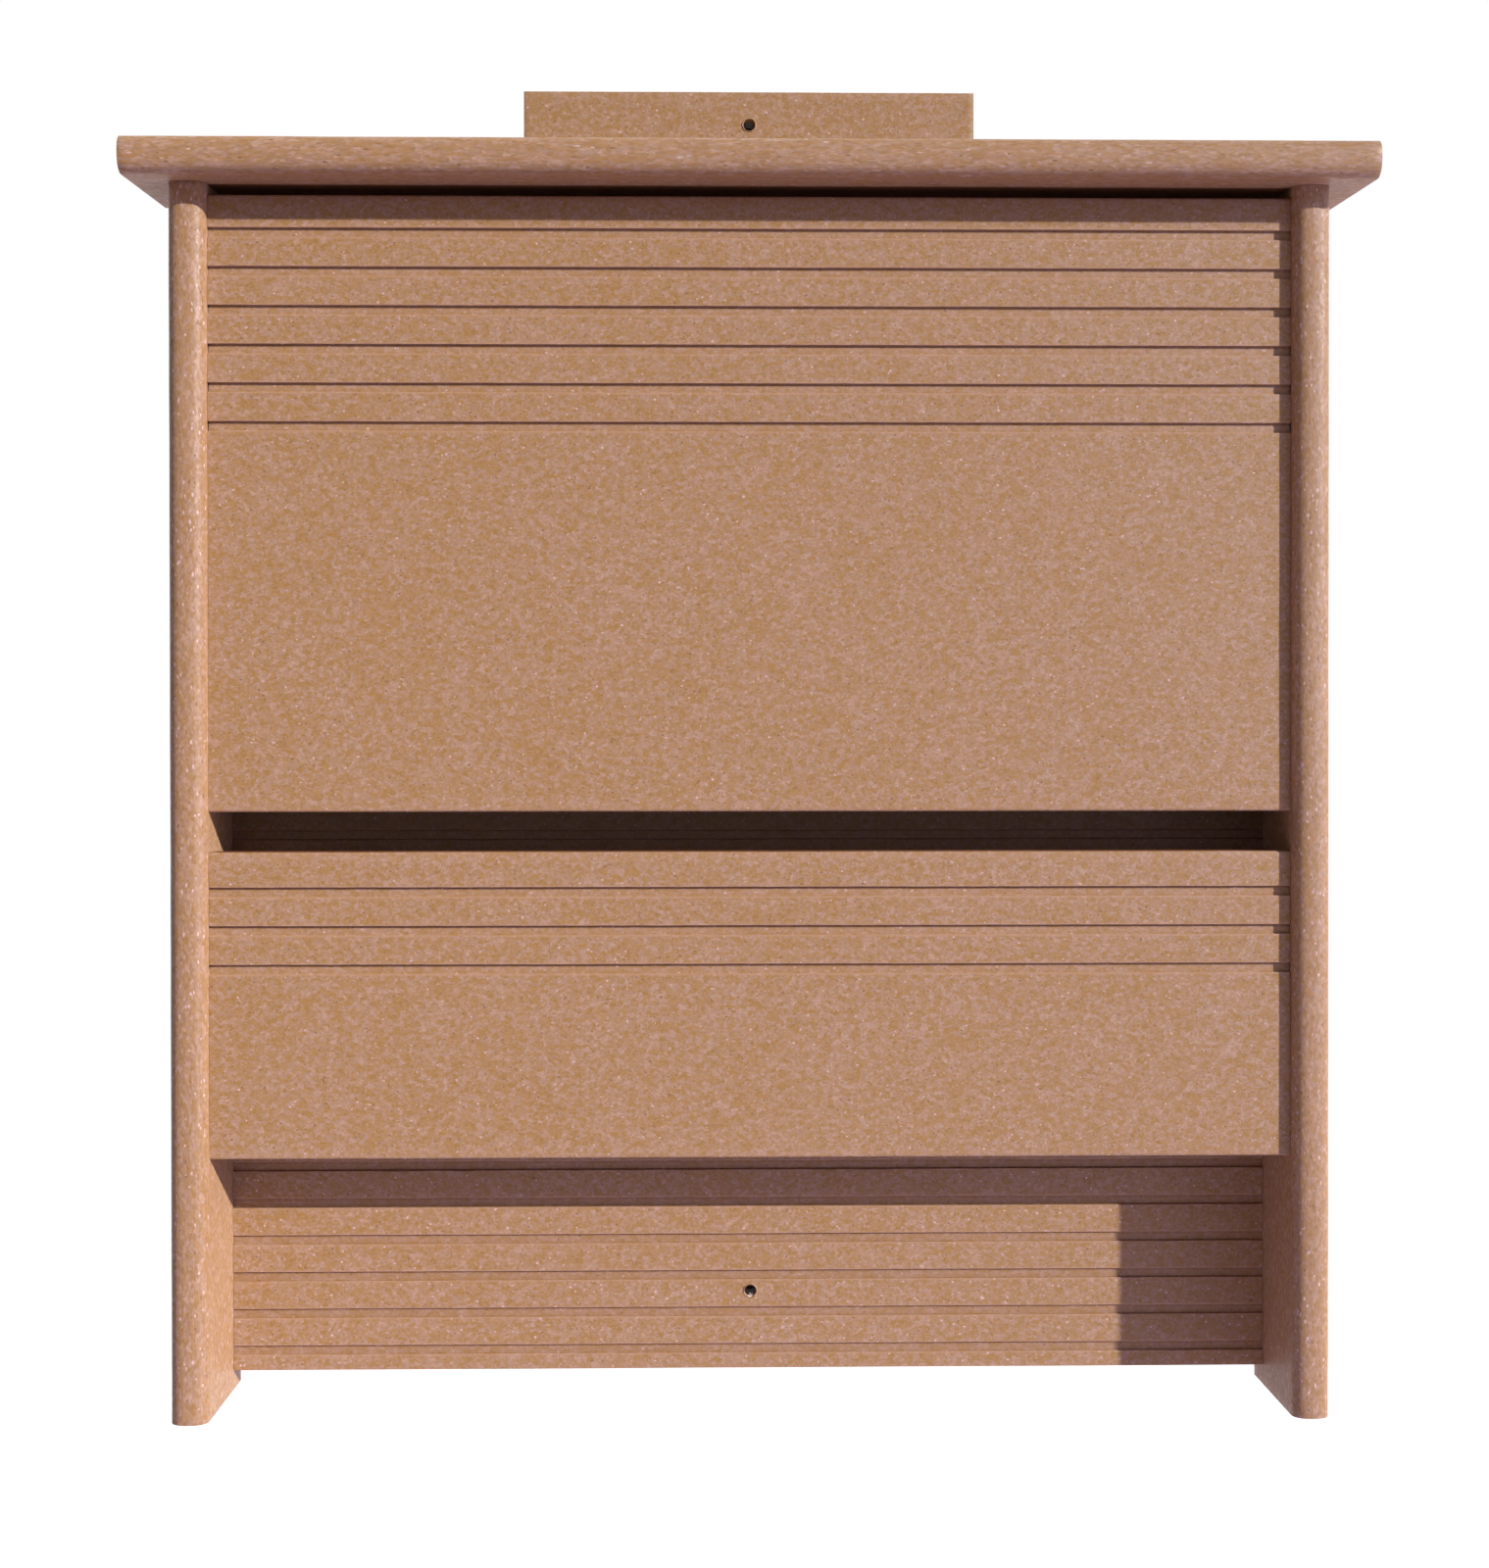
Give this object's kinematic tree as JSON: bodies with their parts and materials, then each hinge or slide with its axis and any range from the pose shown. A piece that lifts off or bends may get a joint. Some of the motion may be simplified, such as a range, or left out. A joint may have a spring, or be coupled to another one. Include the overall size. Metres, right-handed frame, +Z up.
{
  "type": "bat box",
  "caption": "Wall-hung bat box of flecked tan plastic lumber with a single roosting chamber, grooved landing area, vent slot, sloped roof and hanger tab.",
  "frame": {"origin": "on the wall plane at the rear of the back panel, on the centre line, midway between the two hanging holes", "axes": "+X to the right seen from the front, +Y into the wall (the front faces -Y), +Z up"},
  "size_m": [0.526, 0.0882, 0.5817],
  "materials": {
    "grooved_sheet": "flecked recycled plastic sheet, matt, saw-grooved",
    "bullnosed_board": "flecked recycled plastic lumber, extruded, faint lengthwise streaks",
    "screws": "stainless steel, satin"
  },
  "bodies": {
    "root": {"back_panel": "grooved_sheet", "upper_front_panel": "grooved_sheet", "lower_front_panel": "grooved_sheet", "left_side": "bullnosed_board", "right_side": "bullnosed_board", "roof": "bullnosed_board", "upper_front_screw_left_1": "screws", "upper_front_screw_left_2": "screws", "upper_front_screw_left_3": "screws", "upper_front_screw_right_1": "screws", "upper_front_screw_right_2": "screws", "upper_front_screw_right_3": "screws", "lower_front_screw_left_1": "screws", "lower_front_screw_left_2": "screws", "lower_front_screw_right_1": "screws", "lower_front_screw_right_2": "screws", "back_panel_screw_left_1": "screws", "back_panel_screw_left_2": "screws", "back_panel_screw_left_3": "screws", "back_panel_screw_left_4": "screws", "back_panel_screw_right_1": "screws", "back_panel_screw_right_2": "screws", "back_panel_screw_right_3": "screws", "back_panel_screw_right_4": "screws", "roof_screw_left_1": "screws", "roof_screw_left_2": "screws", "roof_screw_right_1": "screws", "roof_screw_right_2": "screws"}
  },
  "joints": []
}
